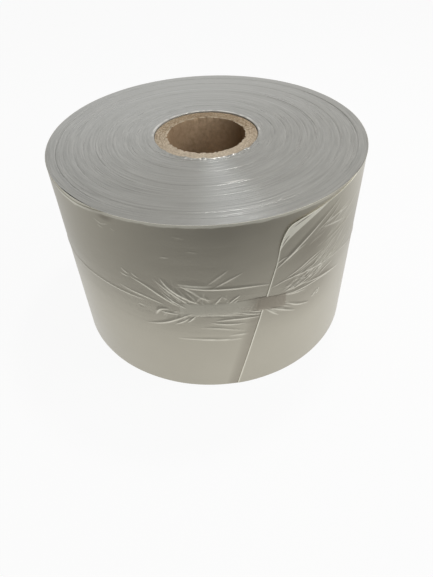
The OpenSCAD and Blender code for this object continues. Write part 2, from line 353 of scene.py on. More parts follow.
class Skin:
    """A layer's face on a grid: how far it stands out, how much painted highlight
    (glint) it gets and how far it is painted with shade."""

    def __init__(self, s, z):
        self.out, self.glint, self.shade = np.zeros((3,) + np.broadcast(s, z).shape)

    def press(self, share):
        """Presses the face down to the share of what it was."""
        self.out *= share
        self.glint *= share


def back_ease(s):
    """1 all round the roll but for the back, where it eases to 0 at the turn's seam."""
    off = (s - tail_s(TAPE_H)) % TURN_LENGTH - TURN_LENGTH / 2
    return step(np.abs(off) / 60)


def add_waves(skin, s, z):
    """Adds the film's slight unevenness."""
    skin.out += (0.06 * wave(s, z, 3, 70) + 0.02 * wave(s, z * 3, 4, 30)) * back_ease(s)


def add_fan(skin, s, z, root, spread, turns, reach, count, rise, seed, most_bend, widths):
    """Adds count seeded small folds that start within spread of root, point between
    the two turns, bend by most_bend at most, and run for an eighth to all of reach."""
    draw = np.random.default_rng(seed)
    for _ in range(count):
        angle = math.radians(draw.uniform(*turns))
        start = (root[0] + draw.uniform(-1, 1) * spread[0], root[1] + draw.uniform(-1, 1) * spread[1])
        run = reach * draw.uniform(0.25, 1) ** 1.5
        bend = angle + draw.uniform(-most_bend, most_bend)
        middle = (start[0] + run / 2 * math.cos(angle), start[1] + run / 2 * math.sin(angle))
        end = (middle[0] + run / 2 * math.cos(bend), middle[1] + run / 2 * math.sin(bend))
        width = draw.uniform(*widths)
        own_rise = rise * draw.uniform(0.4, 1) * draw.choice([1, 1, -0.7])
        add_fold(skin, s, z, [start, middle, end], width, own_rise)


def add_crease_round(skin, s, z):
    """Adds the crease that runs round the back from one fan of folds to the other: a
    ridge 0.45 (1 - |x| / width)^1.6 on a line that drifts slowly in height, 2.8 wide
    above it and 1.5 below, where it gets a painted highlight (glint)."""
    way = s % TURN_LENGTH
    drift = 0.4 * np.sin(way / 23) * bell((way - 500) / 330)
    line = np.interp(way, *smooth_line(np.stack([CREASE_S, CREASE_Z], 1)).T) + drift
    ease = step((way - CREASE_S[0]) / 30) * step((CREASE_S[-1] - way) / 30)
    off = z - line
    skin.out += 0.45 * ease * np.clip(1 - np.abs(off) / np.where(off > 0, 2.8, 1.5), 0, 1) ** 1.6
    # painted highlight on the crease's lower flank
    skin.glint = np.maximum(skin.glint, 0.8 * ease * np.clip(1 + off / 1.5, 0, 1) ** 0.6 * (off < 0))


def tape_height(s):
    """The tape's middle line: level, with a slight bend down at its right end."""
    return TAPE_H - TAPE_BEND * step((s - BEND_FROM) / BEND_RUN)


def under_tape(s, z):
    """1 well inside the tape's outline and 0 outside, eased over 2 mm, but over 18 mm
    at its left end, where it is crinkled with the film."""
    across = step((TAPE_WIDTH / 2 + 0.5 - np.abs(z - tape_height(s))) / 2)
    return across * step((s - TAPE_LEFT + 0.5) / 18) * step((TAPE_RIGHT + 0.5 - s) / 2)


def layer_face(s, z, on_tail):
    """The face of the tail, beyond its own lift, or of the turn below it: the crease,
    the folds and the specks, pressed flat under the tape, and the waves."""
    skin = Skin(s, z)
    add_crease_round(skin, s, z)
    for points, width, rise in TAIL_FOLDS if on_tail else TURN_FOLDS:
        add_fold(skin, s, z, points, width, rise)
    for fan in TAIL_FANS if on_tail else TURN_FANS:
        add_fan(skin, s, z, *fan)
    for middle in SPECKS if on_tail else []:
        speck = patch(s, z, middle, SPECK_HALF)
        # painted highlight on each speck
        skin.glint = np.maximum(skin.glint, speck**0.5)
        skin.out += SPECK_RISE * speck
    skin.press(1 - 0.95 * under_tape(s, z))
    add_waves(skin, s, z)
    return skin


def edge_distance(s, z):
    """How far a place lies inside the tail's edge, taken square to it, and 0 off it."""
    slant = np.sqrt(1 + (tail_s(z + 0.5) - tail_s(z - 0.5)) ** 2)
    return np.maximum(s - tail_s(z), 0) / slant


def curl_reach(s, z):
    """How far a place on the tail's curl lies from the curl's crease, on the side of the
    tail's edge: the crease is s = foot + a x + b x^2, with x the height above its foot.
    It eases to 0 over the last 9 mm before CURL_END."""
    x = np.maximum(z - CURL_FOOT[1], 0)
    a, b = CURL_RUN
    ahead = (CURL_FOOT[0] + a * x + b * x * x - s) / np.sqrt(1 + (a + 2 * b * x) ** 2)
    return np.maximum(ahead, 0) * step((CURL_END - s) / 9) * (x > 0)


def lift_off(s, z):
    """The tail's lift: a slow fall to nothing, a crisp lip at the edge, and the curl, a
    flat strip that tilts up to the edge."""
    d = edge_distance(s, z)
    fall = TAIL_LIFT * (1 - step((s - tail_s(z)) / LIFT_RUN))
    lip = EDGE_LIP * np.clip(1 - d / 1.4, 0, 1) ** 1.4 * (1 - under_tape(s, z))
    return fall + lip + CURL_TILT * curl_reach(s, z)


def revolve(r, a, z):
    """(r sin a, -r cos a, z) in metres, with a = 0 at the front."""
    return np.stack([r * np.sin(a), -r * np.cos(a), z], -1) * MM


def on_face(s, z, out):
    """The point that stands out by out from the roll's face at s and z, in metres."""
    return revolve(ROLL_R + out, s / ROLL_R, z + 0 * out)


def round_turns(columns):
    """The turns of evenly spaced columns round the axis, from 0 at the front."""
    return np.arange(columns) * 2 * math.pi / columns


def spaced(*runs):
    """Values from run to run: each run is (end value, spacing), the first a start."""
    values = [np.array([runs[0]])]
    for end, gap in runs[1:]:
        count = max(1, round((end - values[-1][-1]) / gap))
        values.append(np.linspace(values[-1][-1], end, count + 1)[1:])
    return np.concatenate(values)


def ring_faces(rows, columns, closed_rows=True, closed_columns=True):
    """Quads of a grid, indexed row * columns + column, closed round either way."""
    i = np.arange(rows if closed_rows else rows - 1)
    j = np.arange(columns if closed_columns else columns - 1)
    i, j = np.meshgrid(i, j, indexing="ij")
    i2, j2 = (i + 1) % rows, (j + 1) % columns
    corners = [i * columns + j, i * columns + j2, i2 * columns + j2, i2 * columns + j]
    return np.stack(corners, -1).reshape(-1, 4)


def end_wall(rows, heights, column, columns, flip):
    """Triangles that close one end column of a shell: its first rows, which rise, are
    joined to the rest, which come down again, each to the one nearest in height."""
    inner = len(heights) - 1
    wall = []
    for i in range(rows - 1):
        wall.append((i, i + 1, inner))
        last = i == rows - 2
        while inner > rows and (last or heights[i + 1] > (heights[inner] + heights[inner - 1]) / 2):
            wall.append((i + 1, inner - 1, inner))
            inner -= 1
    wall = np.array(wall) * columns + column
    return wall[:, ::-1] if flip else wall


def new_piece(name, points, faces, material, nodes, sharp=35.0, triangles=()):
    """A smooth-shaded mesh piece from points (n, 3) in metres, quads (m, 4) and perhaps
    triangles, turned to face outwards by the sign of its volume, the sum of a . (b x c)
    over its corners."""
    triangles = np.array(triangles, int).reshape(-1, 3)
    a, b, c, d = (points[faces[:, k]] for k in range(4))
    volume = np.einsum("ij,ij->", a, np.cross(b, c)) + np.einsum("ij,ij->", a, np.cross(c, d))
    if volume < 0:
        faces, triangles = faces[:, ::-1], triangles[:, ::-1]
    sizes = np.concatenate([np.full(len(faces), 4), np.full(len(triangles), 3)])
    corners = np.concatenate([faces.ravel(), triangles.ravel()]).astype(np.int32)
    mesh = bpy.data.meshes.new(name)
    mesh.vertices.add(len(points))
    mesh.vertices.foreach_set("co", points.astype(np.float32).ravel())
    mesh.loops.add(len(corners))
    mesh.loops.foreach_set("vertex_index", corners)
    mesh.polygons.add(len(sizes))
    mesh.polygons.foreach_set("loop_start", (np.cumsum(sizes) - sizes).astype(np.int32))
    mesh.polygons.foreach_set("use_smooth", np.ones(len(sizes), bool))
    mesh.update(calc_edges=True)
    mesh.validate()
    mesh.set_sharp_from_angle(angle=math.radians(sharp))
    mesh.materials.append(material)
    piece = bpy.data.objects.new(name, mesh)
    bpy.context.scene.collection.objects.link(piece)
    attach(piece, "root")
    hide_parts(*nodes)
    return piece


def paint(piece, name, values):
    """A float attribute on the piece's points, for its material."""
    layer = piece.data.attributes.new(name, "FLOAT", "POINT")
    layer.data.foreach_set("value", np.asarray(values, np.float32).ravel())


class Nodes:
    """Short calls to make and join the shader nodes of one material."""

    def __init__(self, name):
        self.material = bpy.data.materials.new(name)
        self.material.use_nodes = True
        self.tree = self.material.node_tree
        self.shader = self.tree.nodes["Principled BSDF"]
        self.place = self.node("ShaderNodeTexCoord").outputs["Object"]

    def node(self, kind, inputs=None, **options):
        made = self.tree.nodes.new(kind)
        for key, value in options.items():
            setattr(made, key, value)
        for key, value in (inputs or {}).items():
            if isinstance(value, bpy.types.NodeSocket):
                self.tree.links.new(value, made.inputs[key])
            else:
                made.inputs[key].default_value = value
        return made

    def math(self, operation, a, b=0.0, c=0.0):
        return self.node("ShaderNodeMath", {0: a, 1: b, 2: c}, operation=operation).outputs[0]

    def noise(self, vector, scale, detail=3.0, rough=0.55):
        inputs = {"Vector": vector, "Scale": scale, "Detail": detail, "Roughness": rough}
        return self.node("ShaderNodeTexNoise", inputs).outputs["Fac"]

    def scaled(self, vector, factors):
        return self.node("ShaderNodeMapping", {"Vector": vector, "Scale": factors}).outputs[0]

    def fit(self, value, low, high, to_low, to_high):
        inputs = {0: value, 1: low, 2: high, 3: to_low, 4: to_high}
        return self.node("ShaderNodeMapRange", inputs).outputs[0]

    def mix(self, share, a, b):
        made = self.node("ShaderNodeMix", data_type="RGBA")
        for socket, value in ((0, share), (6, a), (7, b)):
            if isinstance(value, bpy.types.NodeSocket):
                self.tree.links.new(value, made.inputs[socket])
            else:
                made.inputs[socket].default_value = value
        return made.outputs[2]

    def bump(self, value, strength, distance, normal=None):
        inputs = {"Height": value, "Strength": strength, "Distance": distance}
        if normal is not None:
            inputs["Normal"] = normal
        return self.node("ShaderNodeBump", inputs).outputs[0]

    def attribute(self, name):
        return self.node("ShaderNodeAttribute", attribute_name=name).outputs["Fac"]

    def vector(self, operation, a, b=(0.0, 0.0, 0.0), output=0):
        made = self.node("ShaderNodeVectorMath", {0: a, 1: b}, operation=operation)
        return made.outputs[output]

    def polar(self):
        """The distance of the place from the axis, and its direction as a vector."""
        parts = self.node("ShaderNodeSeparateXYZ", {0: self.place})
        flat = self.node("ShaderNodeCombineXYZ", {0: parts.outputs[0], 1: parts.outputs[1]}).outputs[0]
        return self.vector("LENGTH", flat, output="Value"), self.vector("NORMALIZE", flat)

    def rings(self, radius, facing, share):
        """A place whose noise shows as rings round the axis: the radius along x, plus
        share times the direction, so that the rings change slowly on their way round."""
        across = self.node("ShaderNodeCombineXYZ", {0: radius}).outputs[0]
        return self.vector("ADD", across, self.vector("MULTIPLY", facing, (share, share, 0.0)))

    def finish(self, **sockets):
        for key, value in sockets.items():
            socket = self.shader.inputs[key.replace("_", " ")]
            if isinstance(value, bpy.types.NodeSocket):
                self.tree.links.new(value, socket)
            else:
                socket.default_value = value
        return self.material


def srgb(r, g, b):
    """A colour given as 0 to 255 screen values, made linear."""
    return tuple(((v / 255 + 0.055) / 1.055) ** 2.4 if v > 10 else v / 3294 for v in (r, g, b)) + (1.0,)


def film_face_material():
    """The film seen from its side: silvery grey, a soft gloss, faint bands round the
    roll and a slight crinkle, with painted shade where the shade attribute is set and
    painted highlight lines where the glint attribute is set."""
    n = Nodes("film_face")
    bands = n.noise(n.scaled(n.place, (0.6, 0.6, 9.0)), 9.0, 4.0, 0.6)
    cloud = n.noise(n.place, 11.0, 3.0)
    grey = n.mix(n.fit(cloud, 0.3, 0.7, 0, 1), srgb(189, 184, 169), srgb(195, 190, 175))
    # painted shade: the shade attribute darkens the grey
    grey = n.mix(n.math("MULTIPLY", n.attribute("shade"), 0.5), grey, srgb(150, 142, 128))
    # painted highlight: the glint attribute lightens the grey towards the highlight white
    grey = n.mix(n.attribute("glint"), grey, srgb(*PAINTED_HIGHLIGHT_WHITE))
    crinkle = n.noise(n.scaled(n.place, (1.0, 1.0, 1.6)), 260.0, 3.0)
    normal = n.bump(bands, 0.12, 0.002)
    normal = n.bump(crinkle, 0.08, 0.0006, normal)
    return n.finish(
        Base_Color=grey, Metallic=0.62, Roughness=n.fit(cloud, 0.3, 0.7, 0.3, 0.36),
        Normal=normal, IOR=1.5,
    )


def film_end_material():
    """The ends of the wound turns: pale bluish grey with fine rings, each turn's edge a
    little lighter or darker than the next, and less so where calm is 1. A painted sheen,
    the sheen attribute, blends a darker and a lighter copy of the grey, and the gleam
    attribute paints highlights near white."""
    n = Nodes("film_ends")
    place = n.rings(*n.polar(), 0.006)
    fine = n.noise(place, 520.0, 5.0, 0.65)
    broad = n.noise(place, 170.0, 3.0, 0.6)
    calm = n.attribute("calm")
    contrast = n.math("MULTIPLY_ADD", calm, -0.6, 1.0)
    share = n.math("MULTIPLY_ADD", n.math("SUBTRACT", n.fit(fine, 0.36, 0.64, 0, 1), 0.5), contrast, 0.5)
    # painted sheen: a darker copy of the ring grey away from the sheen and a lighter one in it
    grey_out_of_sheen = n.mix(share, srgb(130, 128, 121), srgb(152, 150, 143))
    grey_in_sheen = n.mix(share, srgb(161, 162, 158), srgb(185, 185, 181))
    grey = n.mix(n.attribute("sheen"), grey_out_of_sheen, grey_in_sheen)
    grey = n.mix(n.fit(broad, 0.35, 0.7, 0, 0.3), grey, srgb(150, 150, 146))
    # painted highlight from the gleam attribute
    grey = n.mix(n.attribute("gleam"), grey, srgb(247, 244, 236))
    normal = n.bump(fine, n.math("MULTIPLY_ADD", calm, -0.65, 0.9), 0.0006)
    normal = n.bump(broad, n.math("MULTIPLY_ADD", calm, -0.15, 0.3), 0.0012, normal)
    return n.finish(
        Base_Color=grey, Metallic=0.25, Roughness=n.fit(broad, 0.3, 0.7, 0.26, 0.34),
        Normal=normal, IOR=1.5,
    )


def core_material():
    """Wound paper board: brown, its plies showing as thin rings on the end and its
    fibres and pits as a fine mottle, paler towards the front. In the bore the colour is
    painted light and shade: paler in the middle of its way round from -X to +X, with a
    painted shade on its +X side."""
    n = Nodes("core_board")
    radius, facing = n.polar()
    ply = n.noise(n.rings(radius, facing, 0.002), 1300.0, 2.0, 0.6)
    fibre = n.noise(n.scaled(n.place, (1.0, 1.0, 0.4)), 620.0, 5.0, 0.65)
    blotch = n.noise(n.place, 60.0, 3.0)
    brown = n.mix(n.fit(ply, 0.35, 0.65, 0, 1), srgb(162, 140, 111), srgb(184, 164, 136))
    brown = n.mix(n.fit(fibre, 0.4, 0.7, 0, 0.75), brown, srgb(200, 185, 163))
    brown = n.mix(n.fit(blotch, 0.4, 0.7, 0, 0.4), brown, srgb(134, 111, 86))
    pits = n.noise(n.place, 480.0, 3.0, 0.7)
    brown = n.mix(n.fit(pits, 0.49, 0.6, 0, 0.8), brown, srgb(122, 100, 74))
    brown = n.mix(n.fit(pits, 0.38, 0.46, 0.7, 0), brown, srgb(214, 200, 178))
    right, back = n.node("ShaderNodeSeparateXYZ", {0: facing}).outputs[:2]
    brown = n.mix(n.fit(back, -1.0, 0.4, 0.55, 0.0), brown, srgb(214, 201, 181))
    brown = n.mix(n.fit(back, 0.2, 1.0, 0.0, 0.5), brown, srgb(140, 119, 92))
    rim = n.fit(radius, (BORE_R + 0.6) * MM, (BORE_R + 2.4) * MM, 0.6, 0.0)
    brown = n.mix(rim, brown, srgb(206, 193, 170))
    # painted light and shade in the bore: paler in the middle, painted shade on the +X side
    bore_light_and_shade = n.mix(n.fit(right, -0.9, 0.0, 0.0, 1.0), srgb(166, 140, 112), srgb(220, 194, 162))
    bore_light_and_shade = n.mix(n.fit(right, 0.3, 0.92, 0.0, 1.0), bore_light_and_shade, srgb(108, 80, 46))
    bore_light_and_shade = n.mix(n.fit(n.noise(n.place, 240.0, 4.0), 0.35, 0.7, 0, 0.4), bore_light_and_shade, srgb(134, 110, 80))
    brown = n.mix(n.attribute("bore"), brown, bore_light_and_shade)
    normal = n.bump(ply, 0.25, 0.0005)
    normal = n.bump(fibre, 0.6, 0.0006, normal)
    return n.finish(Base_Color=brown, Roughness=0.86, Normal=normal, Specular_IOR_Level=0.25)


def tape_material():
    """Clear tape: a thin see-through gloss with faint streaks along its length, a
    little browner where it lies on the tail, and with the painted highlight (glint) of the
    folds beneath carried onto it."""
    n = Nodes("clear_tape")
    streak = n.noise(n.scaled(n.place, (0.5, 0.5, 8.0)), 60.0, 3.0)
    base = n.mix(n.attribute("tint"), srgb(208, 204, 189), srgb(174, 166, 151))
    # painted highlight carried over from the folds beneath
    base = n.mix(n.attribute("glint"), base, srgb(*PAINTED_HIGHLIGHT_WHITE))
    return n.finish(
        Base_Color=base, Metallic=0.6, Roughness=n.fit(streak, 0.3, 0.7, 0.26, 0.34),
        Normal=n.bump(streak, 0.1, 0.0005), IOR=1.5, Alpha=0.94,
    )


def rim_height(s):
    """Top of the outer turn: the film's width less the sag of the loose stretch."""
    return FILM_W - LOOSE_SAG * bell((s - LOOSE_S) / LOOSE_HALF) ** 0.8


def flare(s):
    """How far the film's top edge turns out, most at the front."""
    return RIM_FLARE * (0.35 + 0.65 * step((150 - np.abs(s)) / 60))


def add_tail_edge(skin, s, z):
    """Adds the tail's lift, a painted highlight along its edge, and its curl, lighter partly
    for the lifted film's milkier look and partly by painted highlight, with lines of painted shade.
    """
    skin.out += lift_off(s, z)
    # painted highlight along the tail's edge and over its curl
    edge = np.clip(1.3 - edge_distance(s, z) / 1.3, 0, 1) * (1 - under_tape(s, z))
    curl = np.clip(curl_reach(s, z) / 0.5, 0, 1)
    skin.glint = np.maximum(np.maximum(skin.glint, edge), curl)
    # lines of painted shade in the curl
    for points in CURL_SHADE_LINES:
        add_shade_line(skin, s, z, points, 1.0)


def add_rim(skin, s, z, v):
    """Adds the flare and the lip of the turn's top edge, where v is FILM_W. The lip gets a
    painted highlight, strongest at the front and on the loose stretch."""
    rim = np.clip((v - FILM_W + RIM_BAND) / RIM_BAND, 0, 1)
    skin.out += flare(s) * rim**1.4
    lip = 3.2 + 0.3 * wave(s, 0 * z, 51, 22) + 0.15 * wave(s, 0 * z, 52, 8)
    lit = np.maximum(bell((s - 6) / 110) ** 0.3, 0.8 * bell((s - LOOSE_S) / LOOSE_HALF))
    # painted highlight on the lip
    skin.glint = np.maximum(skin.glint, lit * step((v - FILM_W + lip) / 0.8))


def add_shades(skin, s, z, on_tail):
    """Adds the painted shade patches, and the painted shade beside the tail's lower edge on
    the turn.
    """
    shade = np.zeros_like(z)
    if not on_tail:
        # painted shade beside the tail's lower edge
        beside = bell(np.clip((tail_s(z) - s) / 11 - 0.1, 0, 1)) ** 0.5
        shade += beside * step((108 - z) / 14) * (s < tail_s(z))
    for middle, half, slope, strength in TAIL_SHADES if on_tail else TURN_SHADES:
        shade += strength * patch(s, z, middle, half, slope)
    skin.shade = np.maximum(shade, skin.shade)


def make_outer_turn(name, d, on_tail, material):
    """Half of the outer turn. The turn starts at the tail's edge and runs right round
    the roll to end a little way under it. Column d and row v stand at s = d + tail(z)
    near the tail, easing to s = d + a constant away from it, and z = v rim(s) / width.
    The face stands out by the lift and folds of the layer that shows there, and the
    back lies behind it on fewer rows. The tail's half reaches 1 mm under the other one
    at the back."""
    v = spaced(0.0, (1.5, 0.75), (60, 3.0), (84, 1.2), (160, 0.6), (200, 0.75), (FILM_W, 0.6))
    back_z = [FILM_W - 0.01, 199, 195, 189, 182, 170, 145, 125, 122, 119.5, 117, 113, 90, 60, 6, 0]
    back_rows = np.searchsorted(v, back_z)
    d, v = np.meshgrid(d, v)
    base = tail_s(TAPE_H)
    bend = tail_s(v) - base
    e = TURN_LENGTH - d
    s = base + d + bend * np.clip(1 - d / SLANT_RIGHT, 0, 1) + bend * np.clip(1 - e / SLANT_LEFT, 0, 1) ** 2
    s += TURN_OVERLAP * np.clip(1 - e / OVERLAP_RUN, 0, 1)
    if not on_tail:
        s -= TURN_LENGTH
    z = v * rim_height(s) / FILM_W
    skin = layer_face(s, z, on_tail)
    if on_tail:
        add_tail_edge(skin, s, z)
        skin.out -= TAIL_TUCK * np.clip(d - TURN_LENGTH / 2, 0, 1)
    add_rim(skin, s, z, v)
    add_shades(skin, s, z, on_tail)
    behind = np.full_like(z[back_rows], -TURN_BACK)
    behind[0] = skin.out[-1] - SKIN
    behind[1] = skin.out[-1] - 0.9 * RIM_FLARE - SKIN
    behind[-1] = skin.out[0] - SKIN
    rings = np.concatenate([on_face(s, z, skin.out), on_face(s[back_rows], z[back_rows], behind)])
    rows, columns = rings.shape[:2]
    heights = np.concatenate([v[:, 0], v[back_rows, 0]])
    walls = [end_wall(len(v), heights, column, columns, column > 0) for column in (0, columns - 1)]
    piece = new_piece(name, rings.reshape(-1, 3), ring_faces(rows, columns, closed_columns=False), material,
                      ["film_roll"], 75.0, np.concatenate(walls))
    # painted shade and painted highlight for the film's material
    paint(piece, "shade", np.concatenate([skin.shade, 0 * behind]))
    paint(piece, "glint", np.concatenate([skin.glint, skin.glint[back_rows]]))
    return piece


def make_second_turn(material):
    """The turn beneath, where the outer one has slipped down: a strip a little inside it
    whose top edge sags much less, with its inner face 0.25 mm behind. It is lightened all
    over by a painted highlight."""
    foot, past, columns = 184.0, 8.0, 150
    s = np.linspace(LOOSE_S - LOOSE_HALF - past, LOOSE_S + LOOSE_HALF + past, columns)[None, :]
    v = np.array([0.0, 0.4, 0.7, 0.85, 0.93, 0.97, 1.0])[:, None]
    sag = bell((s - LOOSE_S) / LOOSE_HALF)
    top = FILM_W - 0.05 - 0.4 * sag
    z = foot + v * (top - foot)
    out = -0.75 + 0.47 * step((s - s[0, 0]) / 12) * step((s[0, -1] - s) / 12)
    out = out + flare(s) * np.clip((z - 198) / 5, 0, 1) ** 2
    s = s + 0 * z
    rings = np.concatenate([on_face(s, z, out), on_face(s, z, out - SKIN)[::-1]])
    rows = len(rings)
    faces = ring_faces(rows, columns, closed_columns=False)
    i = np.arange(rows // 2 - 1)
    first = np.stack([i, i + 1, rows - 2 - i, rows - 1 - i], -1) * columns
    last = first[:, ::-1] + columns - 1
    piece = new_piece("second_turn", rings.reshape(-1, 3), np.concatenate([faces, first, last]), material,
                      ["film_roll"], 75.0)
    paint(piece, "shade", np.zeros(rows * columns))
    # painted highlight over the whole strip
    paint(piece, "glint", np.full(rows * columns, 0.55))
    return piece


def band_level(k):
    """How far band k lies back: BAND_DEPTH (1 + sin(137 k degrees)) / 2, but 0 for the
    first and the last."""
    pattern = BAND_DEPTH * (0.5 + 0.5 * np.sin(np.radians(k * 137)))
    return np.where((k <= 0) | (k >= BAND_COUNT - 1), 0, pattern)


def band_back(r):
    """How far the turns lie back from the film's edge: level bands, each easing half of
    the way to the next over its last tenth, with a small step for the rest."""
    run = (ROLL_R - 1.0 - WIND_R) / BAND_COUNT
    k = np.clip(((r - WIND_R) / run).astype(int), 0, BAND_COUNT - 1)
    ease = step(((r - WIND_R) / run - k - 0.9) / 0.2)
    return band_level(k) * (1 - ease) + band_level(k + 1) * ease


def end_drop(r, a, seed):
    """How far the turns' edges lie back at radius r and angle a from the front: bands,
    V gaps where turns stand apart, and seeded turn-to-turn steps that come and go
    round the roll."""
    drop = band_back(r)
    draw = np.random.default_rng(seed)
    for share in GAP_SHARES:
        gap_r = WIND_R + share * (ROLL_R - WIND_R)
        strength = np.clip(0.3 + 0.9 * np.cos(2 * a - draw.uniform(2.2, 4.1)), 0, 1)
        drop = drop + 0.5 * strength * np.clip(1 - np.abs(r - gap_r) / 0.7, 0, 1)
    rows = r.shape[0]
    smooth = np.convolve(draw.normal(0, 1, rows + 8), np.ones(5) / 5, "same")[4:-4]
    steady = draw.normal(0, 0.02, rows)[:, None]
    turning = (0.035 * smooth)[:, None] * np.cos(a - 4 * np.cumsum(draw.normal(0, 0.12, rows))[:, None])
    return drop + steady + turning


def make_wound_film(material):
    """The wound turns under the outer one: a half section carried round the axis. Its
    section is the foot's turn edges outwards, the side, and the top's turn edges
    inwards; the side draws in behind the loose turn. It is painted with gleam, a painted
    highlight: a short streak partway out at the front, the white flecks by the core, which
    are partly whitish film bits and partly painted highlight, and the lit lip at the core.
    It is painted with sheen, a painted sheen where it would mirror the lamp, and with calm,
    where its rings are faint."""
    a = round_turns(WOUND_COLUMNS)
    s = np.where(a > math.pi, a - 2 * math.pi, a) * ROLL_R
    gap = LOOSE_GAP * bell((s - LOOSE_S) / LOOSE_HALF)

    def ends(rows, seed, draws_in):
        """Radii and drops of an end's rows. With draws_in 1 the outer edge draws in
        behind the loose turn, and with 0 it doesn't."""
        share = np.linspace(0, 1, rows)[:, None]
        edge = ROLL_R - 1.0 + draws_in * (1.0 + flare(s) - 0.35 - gap)[None, :]
        r = WIND_R + share * (edge - WIND_R)
        drop = end_drop(r, np.broadcast_to(a, r.shape), seed)
        drop[0] = 0.3
        drop[-1] = 0.0
        return r, drop

    foot_r, foot_drop = ends(FOOT_ROWS, 5, 0.0)
    foot_drop = np.maximum(foot_drop - foot_drop.min(), 0)
    top_r, top_drop = ends(TOP_ROWS, 6, 1.0)
    top_a = np.broadcast_to(a, top_r.shape)
    crumple = np.clip(1 - (top_r - WIND_R) / 7, 0, 1) * step((np.cos(top_a) - 0.2) / 0.5)
    top_drop = np.maximum(top_drop, 0)
    top_drop += crumple * 0.5 * wave(top_a * 60, top_r * 2.0, 8, 5)
    side_z = np.array([8.0, 60.0, 120.0, 178.0, 189.0, 194.0, 198.0, 201.0])[:, None]
    side_r = ROLL_R - 1.0 - gap[None, :] * step((side_z - (FILM_W - LOOSE_DEPTH)) / LOOSE_DEPTH)
    side_r = side_r + (0.65 + flare(s))[None, :] * np.clip((side_z - 197) / 6, 0, 1) ** 2
    r = np.concatenate([foot_r, side_r, top_r[::-1]])
    z = np.concatenate([foot_drop, side_z + 0 * side_r, FILM_W - top_drop[::-1]])
    turn = np.broadcast_to(a, r.shape)
    piece = new_piece("wound_film", revolve(r, turn, z).reshape(-1, 3), ring_faces(*r.shape), material,
                      ["film_roll"], 60.0)
    way = np.degrees(np.where(turn > math.pi, turn - 2 * math.pi, turn))
    # painted highlight: a short bright streak at the front, flecks and spots by the core, and the lip at the
    # core
    gleam = bell((r - 96.3) / 1.0) * bell((way - 14) / 9)
    flecks = np.clip(wave(way * 0.9, r * 1.6, 17, 5) - 0.5, 0, 1)
    gleam += 2.0 * flecks * step((WIND_R + 5 - r) / 3) * bell((way - 5) / 60)
    gleam += bell((way - 7) / 7) * bell((r - WIND_R - 1) / 1.8)
    lip = bell(np.clip((r - WIND_R - 1.4) / 1.8, -1, 1)) * step((0.3 - np.cos(turn)) / 0.5)
    gleam = np.maximum(gleam, 0.6 * lip * (0.6 + 0.4 * np.sin(way / 3 + 2 * np.sin(way / 7))))
    paint(piece, "gleam", np.clip(gleam, 0, 1) * (z > FILM_W / 2))
    # painted sheen: strongest at the front and towards the back left, where the lamp would be mirrored
    sheen = 0.15 + 0.75 * bell((way - 8) / 18) + 0.55 * bell(((way + 320) % 360 - 180) / 120) ** 0.6
    paint(piece, "sheen", np.clip(sheen, 0, 1))
    paint(piece, "calm", step((r - 78) / 30) * step((-0.15 - np.cos(turn)) / 0.5))
    return piece


def make_core(material):
    """The cardboard core: a half section carried round the axis, with plies that are a
    little uneven on the top, a torn inner edge and a shallow spiral seam in the bore.
    The section is the outside, the top inwards, the bore down and the foot outwards."""
    a = round_turns(CORE_COLUMNS)
    draw = np.random.default_rng(9)
    end_r = np.linspace(BORE_R + 0.5, CORE_R - 0.6, CORE_END_ROWS)
    uneven = draw.uniform(0, 0.35, len(end_r))
    bore_z = np.linspace(CORE_TOP - CORE_EDGE, CORE_EDGE, BORE_ROWS)
    outside_z = [CORE_EDGE, CORE_TOP - CORE_EDGE]
    r = np.concatenate([[CORE_R, CORE_R], end_r[::-1], [BORE_R + 0.1], 0 * bore_z + BORE_R, end_r])
    z = np.concatenate([outside_z, CORE_TOP - uneven[::-1], [CORE_TOP - 0.3], bore_z, 0 * end_r])
    r, z = r[:, None] + 0 * a, z[:, None] + 0 * a
    row = np.arange(len(r))[:, None]
    bore_from = len(outside_z) + len(end_r) + 1
    top_face = (row >= len(outside_z)) & (row < bore_from)
    in_bore = (row >= bore_from) & (row < bore_from + len(bore_z))
    seam = ((z - SEAM_PITCH * a / (2 * math.pi)) % SEAM_PITCH) / SEAM_PITCH
    groove = np.clip(1 - np.abs(seam - 0.5) / 0.02, 0, 1) * in_bore
    wobble = 0.12 * wave(a[None, :] * 50, r * 3, 12, 14) * top_face
    torn = np.clip((BORE_R + 2.2 - r) / 1.4, 0, 1) * top_face
    wobble -= 0.45 * np.abs(wave(a[None, :] * 60, 0 * r, 13, 5)) * torn
    frayed = torn + np.clip(1 - (CORE_TOP - z) / 3, 0, 1) * in_bore
    r = r + 0.25 * groove + 1.5 * np.abs(wave(a[None, :] * 60, 0 * r, 14, 6)) * np.clip(frayed, 0, 1)
    piece = new_piece("paper_core", revolve(r, a, z + wobble).reshape(-1, 3), ring_faces(*r.shape), material,
                      ["core_tube"])
    paint(piece, "bore", np.repeat(in_bore, CORE_COLUMNS))
    return piece


